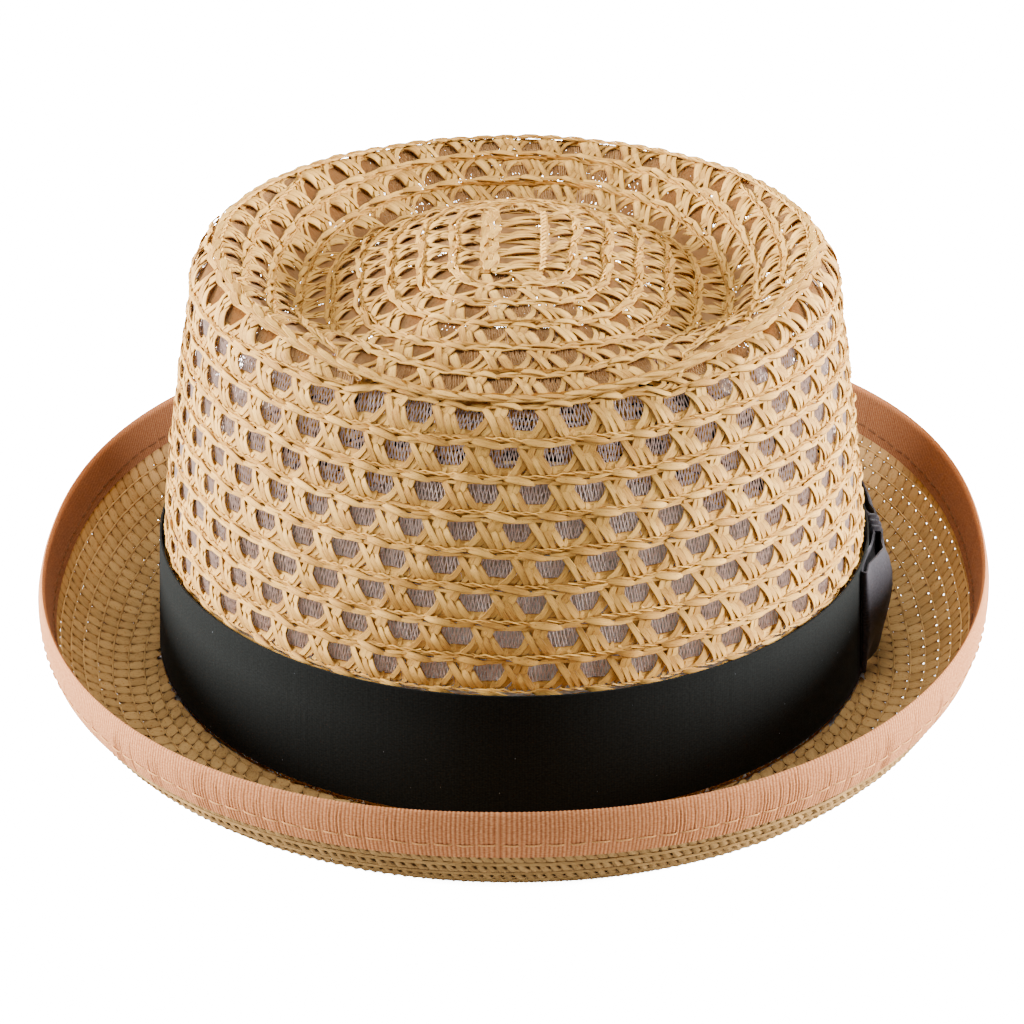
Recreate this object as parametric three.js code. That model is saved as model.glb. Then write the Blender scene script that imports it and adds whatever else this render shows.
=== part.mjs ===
// A sewn straw hat with a telescoped, round-rimmed crown and a brim rolled up all round.
// Millimetres, +Z up. The front of the hat is at -Y and the wearer's left is at +X.
// The origin is the middle of the flat ring that the hat rests on.

import * as THREE from 'three';

// Walls, and the gap between pieces, part of which the flat facets take up
const strawWall = 2.0;
const ribbonWall = 1.0;
const seatGap = 0.45;

// The crown, from its foot inside the brim to the middle of its tip.
// Each row is one oval: half width across, length forwards and back, and height at each side.
const crownColumns = ['name', 'half', 'front', 'back', 'sideZ', 'frontZ', 'backZ'];
const crownRows = [
  ['foot', 86.0, 95.0, 95.0, 0.0, 0.0, 0.0],
  ['band', 84.6, 93.5, 93.5, 32.0, 32.0, 32.0],
  ['wall', 81.4, 87.5, 88.5, 60.0, 60.0, 60.0],
  ['shoulder', 77.6, 79.0, 82.0, 84.0, 80.0, 84.0],
  ['rimOutside', 75.4, 75.4, 78.5, 95.5, 87.0, 95.5],
  ['rimTop', 69.2, 70.0, 72.0, 102.8, 90.5, 102.8],
  ['rimInside', 60.5, 62.5, 63.0, 97.5, 94.2, 98.0],
  ['moat', 50.0, 54.0, 52.0, 89.0, 98.0, 92.0],
  ['dome', 36.0, 44.0, 39.0, 95.5, 101.2, 97.5],
  ['tip', 19.0, 34.0, 26.0, 101.8, 103.0, 102.0],
  ['bar', 6.0, 25.0, 15.0, 103.6, 103.4, 103.6],
];
const crownSteps = 2;
const crownTurns = 56;

// The brim: a flat ring at the head opening, then a quarter roll up to an upright edge.
const brimTurns = 56;
const brimFlatHalf = 91.5;
const brimFlatLength = 114.0;
const brimEdgeHalf = 112.4;
const brimEdgeLength = 135.0;
const brimEdgePower = 2.2;
const brimEdgeSideZ = 27.6;
const brimEdgeFrontZ = 25.6;
const brimEdgeBackZ = 24.6;
// The roll is uneven: the edge stands this much higher at the wearer's left, and lower at the right.
const brimEdgeLean = 2.0;
const brimRollSteps = 7;

// The ribbon folded over the brim's edge: how much of the roll each leg covers, in degrees.
const bindingCoverOut = 22;
const bindingCoverIn = 15;
const bindingSteps = 2;
const bindingFoldSteps = 3;

// The ribbon round the foot of the crown
const bandBottom = 2.4;
const bandTop = 31.6;
const bandOut = 0.5;

// The flat bow over the band's join, on the wearer's left: two loops of ribbon pinched at a waist.
// Its middle is a turn in degrees from the front; out is measured from the band's face.
const bowMiddleTurn = 93;
const bowLoopLength = 34;
const bowBottom = 4.2;
const bowTop = 30.4;
const bowMiddleOut = 3.0;
const bowHalfStand = 2.7;
const bowHalfWaist = 1.1;
const bowPinch = 3.0;
const bowWaistShare = 0.32;
const bowRoundStart = 0.82;
const bowSteps = 10;
const knotHalfLength = 6;
const bowGap = 0.3;

function tableOf(columns, rows) {
  return rows.map((row) => Object.fromEntries(columns.map((column, i) => [column, row[i]])));
}

// A point of an oval ring; turn 0 is the front and turn 90 degrees the wearer's left.
function ovalPoint(ring, turn) {
  const forward = Math.cos(turn);
  const side = Math.sin(turn);
  const power = 2 / (ring.power ?? 2);
  const length = forward > 0 ? ring.front : ring.back;
  const endZ = forward > 0 ? ring.frontZ : ring.backZ;
  return new THREE.Vector3(
    ring.half * Math.sign(side) * Math.abs(side) ** power,
    -length * Math.sign(forward) * Math.abs(forward) ** power,
    ring.sideZ + (endZ - ring.sideZ) * forward * forward,
  );
}

// Sections round the hat: grid[turn][step] is a point of a smooth line through every ring.
function smoothSections(rings, steps, turns) {
  const grid = [];
  for (let j = 0; j < turns; j += 1) {
    const turn = (2 * Math.PI * j) / turns;
    const line = new THREE.CatmullRomCurve3(rings.map((ring) => ovalPoint(ring, turn)));
    line.curveType = 'catmullrom';
    grid.push(line.getPoints(steps * (rings.length - 1)));
  }
  return grid;
}

// The same sections moved by a distance along the sheet's own normal.
function offsetSections(grid, distance) {
  const turns = grid.length;
  return grid.map((section, j) => section.map((point, i) => {
    const along = section[Math.min(i + 1, section.length - 1)].clone().sub(section[Math.max(i - 1, 0)]);
    const round = grid[(j + 1) % turns][i].clone().sub(grid[(j + turns - 1) % turns][i]);
    return point.clone().addScaledVector(round.cross(along).normalize(), distance);
  }));
}

// A closed mesh from loops of points: every loop is one turn, and each turn joins the next.
function ringMesh(loops) {
  const turns = loops.length;
  const count = loops[0].length;
  const positions = loops.flat().flatMap((point) => point.toArray());
  const indices = [];
  for (let j = 0; j < turns; j += 1) {
    const next = ((j + 1) % turns) * count;
    for (let i = 0; i < count; i += 1) {
      const k = (i + 1) % count;
      indices.push(j * count + i, next + i, next + k);
      indices.push(j * count + i, next + k, j * count + k);
    }
  }
  return bufferGeometry(positions, indices);
}

// A closed cap: outside sections up to a top point, inside sections back down, and the hem.
function capMesh(outside, inside, topPoint, underPoint) {
  const turns = outside.length;
  const count = outside[0].length;
  const positions = [...outside, ...inside].flat().flatMap((point) => point.toArray());
  const inner = turns * count;
  const top = 2 * inner;
  const under = top + 1;
  positions.push(...topPoint.toArray(), ...underPoint.toArray());
  const indices = [];
  for (let j = 0; j < turns; j += 1) {
    const here = j * count;
    const next = ((j + 1) % turns) * count;
    for (let i = 0; i < count - 1; i += 1) {
      indices.push(here + i, next + i, next + i + 1, here + i, next + i + 1, here + i + 1);
      indices.push(inner + here + i, inner + next + i + 1, inner + next + i);
      indices.push(inner + here + i, inner + here + i + 1, inner + next + i + 1);
    }
    indices.push(here, inner + here, inner + next, here, inner + next, next);
    indices.push(here + count - 1, next + count - 1, top);
    indices.push(inner + here + count - 1, under, inner + next + count - 1);
  }
  return bufferGeometry(positions, indices);
}

// A closed bar: a row of equal loops, with a flat end at the first and the last.
function barMesh(loops) {
  const count = loops[0].length;
  const positions = loops.flat().flatMap((point) => point.toArray());
  const last = (loops.length - 1) * count;
  const indices = [];
  for (let here = 0; here < last; here += count) {
    for (let i = 0; i < count; i += 1) {
      const k = (i + 1) % count;
      indices.push(here + i, here + count + i, here + count + k, here + i, here + count + k, here + k);
    }
  }
  for (let i = 1; i < count - 1; i += 1) {
    indices.push(0, i, i + 1, last, last + i + 1, last + i);
  }
  return bufferGeometry(positions, indices);
}

function bufferGeometry(positions, indices) {
  const geometry = new THREE.BufferGeometry();
  geometry.setAttribute('position', new THREE.Float32BufferAttribute(positions, 3));
  geometry.setIndex(indices);
  geometry.computeVertexNormals();
  return geometry;
}

function crownGeometry() {
  const rings = tableOf(crownColumns, crownRows);
  const outside = smoothSections(rings, crownSteps, crownTurns);
  const inside = offsetSections(outside, -strawWall);
  for (const section of inside) {
    section[0].z = 0;
  }
  const last = rings.at(-1);
  const topPoint = new THREE.Vector3(0, (last.back - last.front) / 2, last.sideZ);
  const underPoint = topPoint.clone().setZ(last.sideZ - strawWall);
  return capMesh(outside, inside, topPoint, underPoint);
}

// A point of the brim, by how far it has rolled up (0 flat, 90 degrees upright) and its offset
// from the middle of the sheet towards the hat's inside.
function brimPoint(turn, roll, offset) {
  const middleZ = strawWall / 2;
  const start = ovalPoint({ half: brimFlatHalf, front: brimFlatLength, back: brimFlatLength,
    sideZ: middleZ, frontZ: middleZ, backZ: middleZ }, turn);
  const edge = ovalPoint({ half: brimEdgeHalf, front: brimEdgeLength, back: brimEdgeLength,
    sideZ: brimEdgeSideZ, frontZ: brimEdgeFrontZ, backZ: brimEdgeBackZ, power: brimEdgePower }, turn);
  edge.z += brimEdgeLean * Math.sin(turn);
  const reach = edge.clone().sub(start).setZ(0);
  const rise = edge.z - middleZ;
  const outward = reach.clone().normalize();
  const point = start.clone().addScaledVector(reach, Math.sin(roll));
  point.z = middleZ + rise * (1 - Math.cos(roll));
  const normal = outward.clone().multiplyScalar(-rise * Math.sin(roll));
  normal.z = reach.length() * Math.cos(roll);
  return point.addScaledVector(normal.normalize(), offset);
}

function headPoint(turn, z) {
  const foot = tableOf(crownColumns, crownRows)[0];
  return ovalPoint({ half: foot.half + seatGap, front: foot.front + seatGap, back: foot.back + seatGap,
    sideZ: z, frontZ: z, backZ: z }, turn);
}

function brimGeometry() {
  const loops = [];
  for (let j = 0; j < brimTurns; j += 1) {
    const turn = (2 * Math.PI * j) / brimTurns;
    const under = [headPoint(turn, 0)];
    const over = [headPoint(turn, strawWall)];
    for (let i = 0; i <= brimRollSteps; i += 1) {
      const roll = (Math.PI / 2) * (i / brimRollSteps);
      under.push(brimPoint(turn, roll, -strawWall / 2));
      over.push(brimPoint(turn, roll, strawWall / 2));
    }
    loops.push([...under, ...over.reverse()]);
  }
  return ringMesh(loops);
}

// One leg of the folded ribbon at an offset from the middle of the straw, up to the edge.
function bindingLeg(turn, cover, offset) {
  const first = Math.PI / 2 - THREE.MathUtils.degToRad(cover);
  const leg = [];
  for (let i = 0; i <= bindingSteps; i += 1) {
    leg.push(brimPoint(turn, THREE.MathUtils.lerp(first, Math.PI / 2, i / bindingSteps), offset));
  }
  return leg;
}

// One section of the folded ribbon, from the end of the outside leg, over the edge, to the end of
// the inside leg.
function bindingLine(turn, offset) {
  const line = bindingLeg(turn, bindingCoverOut, -offset);
  const insideLeg = bindingLeg(turn, bindingCoverIn, offset).reverse();
  const outer = line.at(-1).clone();
  const middle = outer.clone().lerp(insideLeg[0], 0.5);
  for (let i = 1; i < bindingFoldSteps; i += 1) {
    const bend = (Math.PI * i) / bindingFoldSteps;
    const point = middle.clone().lerp(outer, Math.cos(bend));
    point.z = middle.z + (offset - strawWall / 2) * Math.sin(bend);
    line.push(point);
  }
  return [...line, ...insideLeg];
}

function bindingGeometry() {
  const innerOffset = strawWall / 2 + seatGap;
  const loops = [];
  for (let j = 0; j < brimTurns; j += 1) {
    const turn = (2 * Math.PI * j) / brimTurns;
    const outer = bindingLine(turn, innerOffset + ribbonWall);
    const inner = bindingLine(turn, innerOffset);
    loops.push([...outer, ...inner.reverse()]);
  }
  return ringMesh(loops);
}

// A point off the crown's foot, by turn, height and distance out from the straw.
function footPoint(turn, z, out) {
  const [foot, band] = tableOf(crownColumns, crownRows);
  const share = z / band.sideZ;
  const half = THREE.MathUtils.lerp(foot.half, band.half, share);
  const length = THREE.MathUtils.lerp(foot.front, band.front, share);
  const point = ovalPoint({ half, front: length, back: length, sideZ: z, frontZ: z, backZ: z }, turn);
  const normal = new THREE.Vector3(Math.sin(turn) / half, -Math.cos(turn) / length, 0).normalize();
  return point.addScaledVector(normal, out);
}

function bandGeometry() {
  const near = bandOut;
  const far = near + ribbonWall;
  const loops = [];
  for (let j = 0; j < crownTurns; j += 1) {
    const turn = (2 * Math.PI * j) / crownTurns;
    loops.push([
      footPoint(turn, bandBottom, far), footPoint(turn, bandTop, far),
      footPoint(turn, bandTop, near), footPoint(turn, bandBottom, near),
    ]);
  }
  return ringMesh(loops);
}

// How full the bow is at a share of its length, from 0 at the waist to 1 past it.
function fullness(share) {
  return THREE.MathUtils.smoothstep(share, bowWaistShare, 0.7);
}

// A point of the bow: along runs from its middle, towards the back of the hat where positive.
function bowPoint(along, height, out) {
  const radius = crownRows[0][crownColumns.indexOf('front')];
  const turn = THREE.MathUtils.degToRad(bowMiddleTurn) + along / radius;
  const z = THREE.MathUtils.lerp(bowBottom, bowTop, height);
  return footPoint(turn, z, bandOut + ribbonWall + bowMiddleOut + out);
}

// One loop of ribbon, from the waist out along the band's side, round its end and back.
// Away is 1 for the back loop and -1 for the front one.
function bowLoopGeometry(away) {
  const loops = [];
  for (let i = -bowSteps; i <= bowSteps; i += 1) {
    const share = Math.cos((Math.PI / 2) * (i / bowSteps));
    const flatHalf = THREE.MathUtils.lerp(bowHalfWaist, bowHalfStand, fullness(share));
    const past = Math.max(0, (share - bowRoundStart) / (1 - bowRoundStart));
    const side = Math.sign(i) * Math.sqrt(1 - past * past);
    const pinch = (bowPinch * (1 - fullness(share))) / (bowTop - bowBottom);
    const along = away * (bowGap + share * bowLoopLength);
    const within = away * (bowGap + share * (bowLoopLength - ribbonWall));
    const outer = flatHalf * side;
    const inner = (flatHalf - ribbonWall) * side;
    loops.push([
      bowPoint(along, pinch, outer), bowPoint(along, 1 - pinch, outer),
      bowPoint(within, 1 - pinch, inner), bowPoint(within, pinch, inner),
    ]);
  }
  return barMesh(away < 0 ? loops : loops.map((loop) => loop.reverse()));
}

// The short ribbon that wraps the bow's waist, a squared ring round both loops.
function knotGeometry() {
  const clear = bowPinch - seatGap;
  const low = clear / (bowTop - bowBottom);
  const wall = ribbonWall / (bowTop - bowBottom);
  const half = bowHalfWaist + seatGap;
  const square = (along, edge, out) => [
    bowPoint(along, edge, -out), bowPoint(along, edge, out),
    bowPoint(along, 1 - edge, out), bowPoint(along, 1 - edge, -out),
  ];
  const [outerBack, outerFront, innerFront, innerBack] = [
    square(knotHalfLength, low - wall, half + ribbonWall),
    square(-knotHalfLength, low - wall, half + ribbonWall),
    square(-knotHalfLength, low, half),
    square(knotHalfLength, low, half),
  ];
  return ringMesh([0, 1, 2, 3].map((i) => [outerBack[i], outerFront[i], innerFront[i], innerBack[i]]));
}

const straw = { roughness: 0.75, metalness: 0 };
const ribbon = { roughness: 0.85, metalness: 0 };

function piece(name, geometry, color, finish) {
  const mesh = new THREE.Mesh(geometry, new THREE.MeshStandardMaterial({ color, ...finish }));
  mesh.name = name;
  return mesh;
}

const hat = new THREE.Group();
hat.add(piece('crown', crownGeometry(), 0xcfae78, straw));
hat.add(piece('brim', brimGeometry(), 0xa9834e, straw));
hat.add(piece('brim_binding', bindingGeometry(), 0xcf9a72, ribbon));
hat.add(piece('hat_band', bandGeometry(), 0x1a1a1c, ribbon));
hat.add(piece('bow_front_loop', bowLoopGeometry(-1), 0x26262a, ribbon));
hat.add(piece('bow_back_loop', bowLoopGeometry(1), 0x26262a, ribbon));
hat.add(piece('bow_knot', knotGeometry(), 0x26262a, ribbon));

export default hat;
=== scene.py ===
import math

import bpy
import numpy as np
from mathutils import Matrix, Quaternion, Vector


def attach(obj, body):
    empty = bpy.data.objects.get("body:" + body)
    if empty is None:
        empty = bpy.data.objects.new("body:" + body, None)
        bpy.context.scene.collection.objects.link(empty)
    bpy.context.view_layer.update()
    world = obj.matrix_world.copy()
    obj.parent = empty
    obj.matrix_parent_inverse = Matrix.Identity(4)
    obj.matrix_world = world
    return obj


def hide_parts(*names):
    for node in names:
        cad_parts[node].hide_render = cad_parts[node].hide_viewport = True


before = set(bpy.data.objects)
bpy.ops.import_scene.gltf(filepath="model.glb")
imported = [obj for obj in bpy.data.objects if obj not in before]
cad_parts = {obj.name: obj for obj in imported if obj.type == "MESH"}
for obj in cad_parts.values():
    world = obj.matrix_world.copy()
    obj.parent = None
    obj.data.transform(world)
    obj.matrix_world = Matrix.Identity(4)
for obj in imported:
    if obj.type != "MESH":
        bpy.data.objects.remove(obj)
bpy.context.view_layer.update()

# The view: the hat stands on a pale table and is looked at from a little above its front, with a
# long lens. Sizes from here on are in millimetres, and meshes are written in metres.
MM = 0.001
VIEW_RISE = math.radians(25)
VIEW_TURN = math.radians(1.2)
VIEW_ROLL = math.radians(0.1)
VIEW_DISTANCE = 750
VIEW_AIM = Vector((-0.6, 0, 31.4))
LENS = 108.6


def add_object(name, data):
    made = bpy.data.objects.new(name, data)
    bpy.context.scene.collection.objects.link(made)
    return made


camera = add_object("camera", bpy.data.cameras.new("camera"))
bpy.context.scene.camera = camera
camera.data.lens = LENS
camera.data.sensor_width = 36
camera.data.clip_start = 0.05
camera.data.clip_end = 50
towards_camera = Vector((math.sin(VIEW_TURN) * math.cos(VIEW_RISE),
                         -math.cos(VIEW_TURN) * math.cos(VIEW_RISE), math.sin(VIEW_RISE)))
camera.location = (VIEW_AIM + towards_camera * VIEW_DISTANCE) * MM
camera.rotation_mode = "QUATERNION"
level_camera = (-towards_camera).to_track_quat("-Z", "Y")
camera.rotation_quaternion = level_camera @ Quaternion((0, 0, 1), VIEW_ROLL)


# The stage: a pale table that shows white away from the hat but throws little light on it, two
# large soft boxes low at the sides, a weak one above and a dim sky, so that the crown's sides are
# lit far more than its front.
TABLE_PALENESS = 0.5
GLOW_STARTS = 92
GLOW_FULL = 106
GLOW_OVAL = 0.83
GLOW = 25.0
SKY_STRENGTH = 0.03


def new_material(name, roughness, shine=0.5):
    """A new material, its node tree and its shader."""
    material = bpy.data.materials.new(name)
    material.use_nodes = True
    shader = material.node_tree.nodes["Principled BSDF"]
    shader.inputs["Roughness"].default_value = roughness
    shader.inputs["Specular IOR Level"].default_value = shine
    return material, material.node_tree, shader


def add_node(tree, kind, inputs=None, **settings):
    """A new node with its settings; each of the inputs gets a value or a link from an output."""
    node = tree.nodes.new(kind)
    for name, value in settings.items():
        setattr(node, name, value)
    for name, value in (inputs or {}).items():
        if isinstance(value, bpy.types.NodeSocket):
            tree.links.new(value, node.inputs[name])
        else:
            node.inputs[name].default_value = value
    return node


def math_node(tree, operation, *values):
    return add_node(tree, "ShaderNodeMath", dict(enumerate(values)), operation=operation).outputs[0]


def ramp(tree, value, start, end, top=1.0, kind="LINEAR"):
    """0 while the value is before the start, and the top once it is past the end."""
    return add_node(tree, "ShaderNodeMapRange",
                    {"Value": value, "From Min": start, "From Max": end, "To Max": top},
                    interpolation_type=kind).outputs["Result"]


def table_material():
    material, tree, shader = new_material("light_table", roughness=0.9)
    shader.inputs["Base Color"].default_value = (TABLE_PALENESS, TABLE_PALENESS, TABLE_PALENESS, 1)
    shader.inputs["Emission Color"].default_value = (1, 1, 1, 1)
    place = add_node(tree, "ShaderNodeTexCoord")
    oval_place = add_node(tree, "ShaderNodeMapping",
                          {"Vector": place.outputs["Object"], "Scale": (1, GLOW_OVAL, 1)})
    distance = add_node(tree, "ShaderNodeVectorMath", {0: oval_place.outputs["Vector"]},
                        operation="LENGTH")
    white = ramp(tree, distance.outputs["Value"], GLOW_STARTS * MM, GLOW_FULL * MM, GLOW, "SMOOTHSTEP")
    seen = add_node(tree, "ShaderNodeLightPath")
    glow = math_node(tree, "MULTIPLY", white, seen.outputs["Is Camera Ray"])
    tree.links.new(glow, shader.inputs["Emission Strength"])
    return material


FLOOR_HALF = 4000
floor_mesh = bpy.data.meshes.new("floor")
floor_mesh.from_pydata([(x * FLOOR_HALF * MM, y * FLOOR_HALF * MM, 0)
                        for x, y in ((-1, -1), (1, -1), (1, 1), (-1, 1))], [], [(0, 1, 2, 3)])
floor_mesh.materials.append(table_material())
floor = add_object("floor", floor_mesh)


def soft_box(name, place, aim, size, watts, colour):
    lamp = bpy.data.lights.new(name, "AREA")
    lamp.shape = "RECTANGLE"
    lamp.size, lamp.size_y = size[0] * MM, size[1] * MM
    lamp.energy = watts
    lamp.color = colour
    lamp_object = add_object(name, lamp)
    lamp_object.location = Vector(place) * MM
    lamp_object.rotation_mode = "QUATERNION"
    lamp_object.rotation_quaternion = (Vector(aim) - Vector(place)).to_track_quat("-Z", "Y")


soft_box("left_box", (-1150, 170, 320), (0, 0, 40), (900, 420), 99, (1, 0.97, 0.93))
soft_box("right_box", (1150, 200, 270), (0, 0, 40), (900, 420), 99, (1, 0.97, 0.94))
soft_box("top_box", (0, -20, 1200), (0, 0, 50), (700, 700), 18, (1, 0.98, 0.96))

world = bpy.data.worlds.new("sky")
bpy.context.scene.world = world
world.use_nodes = True
world.node_tree.nodes["Background"].inputs["Color"].default_value = (1, 1, 1, 1)
world.node_tree.nodes["Background"].inputs["Strength"].default_value = SKY_STRENGTH


# The crown's surface: the outside of the straw as ovals from the foot inside the brim, up the
# wall, over the ridge of the rim, down into the dent and up the tip to the bar in its middle.
BAR_POWER = 4.0
SURFACE_TURNS = 720
STEPS_PER_RING = 16
STEPS_PER_LEG = 60
# Each ring's name, half width, reach to the front and back, and height at the side, front and back
CROWN_RINGS = (
    ("foot", 86.0, 95.0, 95.0, 0.0, 0.0, 0.0),
    ("band", 84.6, 93.5, 93.5, 32.0, 32.0, 32.0),
    ("wall", 81.4, 87.5, 88.5, 60.0, 60.0, 60.0),
    ("shoulder", 77.6, 79.0, 82.0, 84.0, 80.0, 84.0),
    ("rim_outside", 75.4, 75.4, 78.5, 95.5, 87.0, 95.5),
    ("ridge", 69.2, 70.0, 72.0, 102.8, 90.5, 102.8),
    ("rim_inside", 60.5, 62.5, 63.0, 97.5, 94.2, 98.0),
    ("dent", 50.0, 54.0, 52.0, 89.0, 98.0, 92.0),
    ("dome", 36.0, 44.0, 39.0, 95.5, 101.2, 97.5),
    ("tip", 19.0, 34.0, 26.0, 101.8, 103.0, 102.0),
    ("bar", 6.0, 25.0, 15.0, 103.6, 103.4, 103.6),
)
LEG_RINGS = ("foot", "band", "ridge", "bar")


def oval(half, front, back, side_z, front_z, back_z, turn, power=2.0):
    """Points of an oval ring; turn 0 is the front and a quarter turn the wearer's left."""
    forward, side = np.cos(turn), np.sin(turn)
    length = np.where(forward > 0, front, back)
    end_z = np.where(forward > 0, front_z, back_z)
    return np.stack([half * np.sign(side) * np.abs(side) ** (2 / power),
                     -length * np.sign(forward) * np.abs(forward) ** (2 / power),
                     side_z + (end_z - side_z) * forward ** 2], axis=-1)


def smooth_line(rings, steps):
    """Points between rings on the smooth line through all of them, steps to a gap."""
    padded = np.concatenate([2 * rings[:1] - rings[1:2], rings, 2 * rings[-1:] - rings[-2:-1]])
    points = []
    for i in range(len(rings) - 1):
        before, start, end, after = padded[i:i + 4]
        for share in np.arange(steps) / steps:
            square, cube = share ** 2, share ** 3
            points.append((2 * cube - 3 * square + 1) * start + (3 * square - 2 * cube) * end
                          + (cube - 2 * square + share) * (end - before) / 2
                          + (cube - square) * (after - start) / 2)
    points.append(rings[-1])
    return np.array(points)


def even_steps(line, steps):
    """The same line, column by column, cut into equal lengths; and each column's length."""
    lengths = np.concatenate([np.zeros((1, line.shape[1])),
                              np.cumsum(np.linalg.norm(np.diff(line, axis=0), axis=2), axis=0)])
    out = np.empty((steps + 1, line.shape[1], 3))
    for j in range(line.shape[1]):
        marks = np.linspace(0, lengths[-1, j], steps + 1)
        for axis in range(3):
            out[:, j, axis] = np.interp(marks, lengths[:, j], line[:, j, axis])
    return out, lengths[-1]


def normals_of(grid):
    """Unit normals of a grid of points whose columns go round and whose rows go up."""
    up = np.gradient(grid, axis=0)
    ahead, behind = np.roll(grid[:, :-1], -1, axis=1), np.roll(grid[:, :-1], 1, axis=1)
    round_ = np.concatenate([ahead - behind, (ahead - behind)[:, :1]], axis=1)
    normal = np.cross(round_, up)
    return normal / np.linalg.norm(normal, axis=2, keepdims=True)


class Surface:
    """A sheet given by a grid of points: turn runs round the hat and height from row to row."""

    def __init__(self, turns, grid, flip=1):
        self.turns = turns
        self.grid = grid
        self.normals = normals_of(grid) * flip

    def at(self, turn, height, lift):
        column = (turn % (2 * np.pi)) / (2 * np.pi) * (len(self.turns) - 1)
        row = np.clip(height, 0, len(self.grid) - 1.001)
        j, i = np.floor(column).astype(int), np.floor(row).astype(int)
        j = np.minimum(j, len(self.turns) - 2)
        a, b = (column - j)[:, None], (row - i)[:, None]
        corners = ((i, j, (1 - b) * (1 - a)), (i, j + 1, (1 - b) * a),
                   (i + 1, j, b * (1 - a)), (i + 1, j + 1, b * a))
        point = sum(self.grid[r, c] * weight for r, c, weight in corners)
        normal = sum(self.normals[r, c] * weight for r, c, weight in corners)
        normal /= np.linalg.norm(normal, axis=1, keepdims=True)
        return point + normal * lift[:, None]


turns = np.linspace(0, 2 * np.pi, SURFACE_TURNS + 1)
ring_names = [ring[0] for ring in CROWN_RINGS]
crown_rings = np.array([oval(*ring[1:], turns, BAR_POWER if ring[0] == "bar" else 2.0)
                        for ring in CROWN_RINGS])
crown_line = smooth_line(crown_rings, STEPS_PER_RING)
leg_marks = [ring_names.index(name) * STEPS_PER_RING for name in LEG_RINGS]
legs = [even_steps(crown_line[a:b + 1], STEPS_PER_LEG) for a, b in zip(leg_marks, leg_marks[1:])]
wall_length, tip_length = (length for _, length in legs[1:])
crown = Surface(turns, np.concatenate([legs[0][0], legs[1][0][1:], legs[2][0][1:]]))

# The crown's braid: an openwork braid of paper straw about 8 mm wide, sewn edge to edge in a
# spiral. Rows on the wall are level from the band up to the ridge; rows on the tip are equally
# far from the bar. Where a row runs out at the ridge its neighbour widens to take its place.
BRAID_WIDTH = 7.85
BRAID_PITCH = 11.7
TIP_PITCH = 10.7
WALL_STAGGER, WALL_STAGGER_STEP = 0.022, 0.38
FOOT_STAGGER, TIP_STAGGER = 0.003, 0.013
FOOT_BRAIDS = 4
FOOT_BRAID_WIDTH = 8
FOOT_SINK = 1.0
FOOT_RAISE = 0.08
WALL_SINK = 0.9
TIP_SINK = 0.3
WALL_SPLITS = (4, 8)
SHORT_ROW = 0.40
SHORT_ROW_END = 0.50
LEAST_ROW = 0.24
BRAID_TURN = 0.03


def fade(value, start, end):
    share = np.clip((value - start) / (end - start), 0, 1)
    return share * share * (3 - 2 * share)


def row_edge(count, room):
    """Where the row that many widths out ends, once it has taken up a short rest of the room."""
    edge = count * BRAID_WIDTH
    rest = room - edge
    taken = rest * (1 - fade(rest, SHORT_ROW * BRAID_WIDTH, SHORT_ROW_END * BRAID_WIDTH))
    return np.where(count == 0, 0, np.minimum(edge + np.maximum(taken, 0), room))


class Row:
    """One ring of braid: low and high are its edges as heights of the surface, at each turn."""

    def __init__(self, surface, low, high, width, pitch, start):
        self.low, self.high, self.width = low, high, width
        middle = surface.at(surface.turns, (low + high) / 2, np.zeros(len(low)))
        steps = np.linalg.norm(np.diff(middle, axis=0), axis=1)
        self.shares = np.concatenate([[0], np.cumsum(steps)]) / steps.sum()
        self.seats = max(4, round(steps.sum() / pitch))
        self.start = start

    def turn(self, share):
        return np.interp((share + self.start) % 1, self.shares, turns)


def foot_rows():
    edges = np.linspace(0, STEPS_PER_LEG, FOOT_BRAIDS + 1)
    flat = np.ones(len(turns))
    return [Row(crown, flat * a, flat * b, flat * FOOT_BRAID_WIDTH, BRAID_PITCH, FOOT_STAGGER * i)
            for i, (a, b) in enumerate(zip(edges, edges[1:]))]


def wall_rows():
    rows = []
    for i in range(int(np.ceil(wall_length.max() / BRAID_WIDTH))):
        low, high = row_edge(i, wall_length), row_edge(i + 1, wall_length)
        rows.append(Row(crown, STEPS_PER_LEG * (1 + low / wall_length),
                        STEPS_PER_LEG * (1 + high / wall_length), high - low, BRAID_PITCH,
                        WALL_STAGGER * (WALL_STAGGER_STEP * i % 1)))
    return rows


def tip_rows():
    rows = []
    for i in range(int(np.ceil(tip_length.max() / BRAID_WIDTH))):
        near, far = row_edge(i, tip_length), row_edge(i + 1, tip_length)
        rows.append(Row(crown, STEPS_PER_LEG * (3 - far / tip_length),
                        STEPS_PER_LEG * (3 - near / tip_length), far - near, TIP_PITCH,
                        TIP_STAGGER * i))
    return rows


def seats_on(rows, pitch, width):
    """Flat seats for braid units: x runs along the row, and with it the row's number."""
    return [(i * pitch, r) for r, row in enumerate(rows) for i in range(row.seats)
            if np.interp(row.turn((i + 0.5) / row.seats), turns, row.width) > LEAST_ROW * width]


def travelled(line):
    """How far along a line of points each of them is."""
    return np.concatenate([[0], np.cumsum(np.linalg.norm(np.diff(line, axis=0), axis=1))])


SHARP_ANGLE = math.radians(42)


def marked_object(name, points, faces, attribute, marks):
    """An object of closed strips or bands, with a vector attribute for its material to read."""
    mesh = bpy.data.meshes.new(name)
    mesh.from_pydata([tuple(point) for point in points], [], faces)
    mark = mesh.attributes.new(attribute, "FLOAT_VECTOR", "POINT")
    mark.data.foreach_set("vector", np.array(marks, np.float32).ravel())
    mesh.polygons.foreach_set("use_smooth", [True] * len(mesh.polygons))
    mesh.set_sharp_from_angle(angle=SHARP_ANGLE)
    return add_object(name, mesh)


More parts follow.
